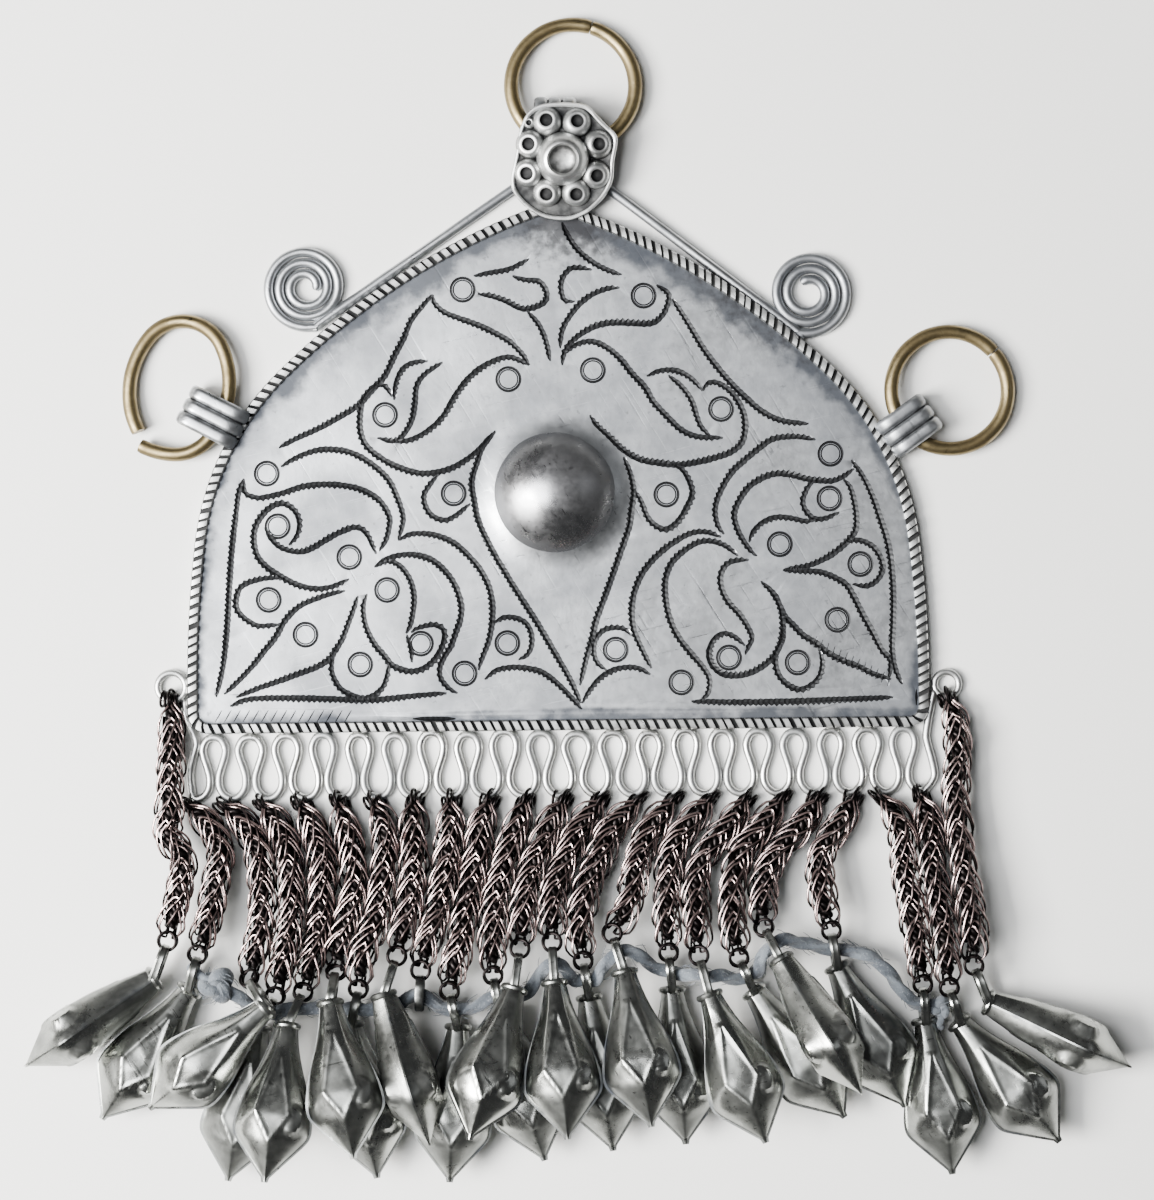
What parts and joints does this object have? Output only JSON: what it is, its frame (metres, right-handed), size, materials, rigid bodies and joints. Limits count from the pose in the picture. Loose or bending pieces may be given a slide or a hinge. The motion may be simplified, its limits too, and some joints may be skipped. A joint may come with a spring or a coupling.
{
  "type": "pendant",
  "caption": "Engraved half-round medallion pendant with three hanging brass rings, a flower knop, scrolled wire and a fringe of chains with hollow pointed drops",
  "frame": {"origin": "middle of the underside of the box round the lying pendant", "axes": "+X to the right along the foot of the plate, +Y from the fringe up to the top ring, +Z out of the engraved face"},
  "size_m": [0.1661, 0.1765, 0.0189],
  "materials": {
    "dark_silver": "worn grey silver alloy, dark in the engraving",
    "ring_brass": "dull yellow brass, scratched",
    "dark_chain": "dark brown tarnished links with coppery highlights",
    "nickel": "greenish grey nickel silver, dented and tarnished",
    "cotton": "pale blue grey twisted cotton"
  },
  "bodies": {
    "pendant": {"plate": "dark_silver", "bare_bail": "dark_silver", "string": "cotton", "string_knot_left": "cotton", "string_knot_right": "cotton", "chain_01": "dark_chain", "chain_02": "dark_chain", "chain_03": "dark_chain", "chain_04": "dark_chain", "chain_05": "dark_chain", "chain_06": "dark_chain", "chain_07": "dark_chain", "chain_08": "dark_chain", "chain_09": "dark_chain", "chain_10": "dark_chain", "chain_11": "dark_chain", "chain_12": "dark_chain", "chain_13": "dark_chain", "chain_14": "dark_chain", "chain_15": "dark_chain", "chain_16": "dark_chain", "chain_17": "dark_chain", "chain_18": "dark_chain", "chain_19": "dark_chain", "chain_20": "dark_chain", "chain_21": "dark_chain", "chain_22": "dark_chain", "chain_23": "dark_chain", "drop_01": "nickel", "drop_02": "nickel", "drop_03": "nickel", "drop_04": "nickel", "drop_05": "nickel", "drop_06": "nickel", "drop_07": "nickel", "drop_08": "nickel", "drop_09": "nickel", "drop_10": "nickel", "drop_11": "nickel", "drop_12": "nickel", "drop_13": "nickel", "drop_14": "nickel", "drop_15": "nickel", "drop_16": "nickel", "drop_17": "nickel", "drop_18": "nickel", "drop_19": "nickel", "drop_20": "nickel", "drop_21": "nickel", "drop_22": "nickel"},
    "top_ring": {"top_ring": "ring_brass"},
    "right_ring": {"right_ring": "ring_brass"},
    "left_ring": {"left_ring": "ring_brass"}
  },
  "joints": [
    {"name": "top_ring_hinge", "type": "hinge", "parent": "pendant", "child": "top_ring", "pos_m": [-0.0031, 0.0692, 0.0024], "axis": [0.9563, -0.2924, 0], "range_deg": [-120, 12]},
    {"name": "right_ring_hinge", "type": "hinge", "parent": "pendant", "child": "right_ring", "pos_m": [0.0504, 0.0259, 0.0024], "axis": [0.6561, -0.7547, 0], "range_deg": [-110, 155]},
    {"name": "left_ring_hinge", "type": "hinge", "parent": "pendant", "child": "left_ring", "pos_m": [-0.05455, 0.02665, 0.0024], "axis": [0.4602, 0.8878, 0], "range_deg": [-110, 155]}
  ]
}
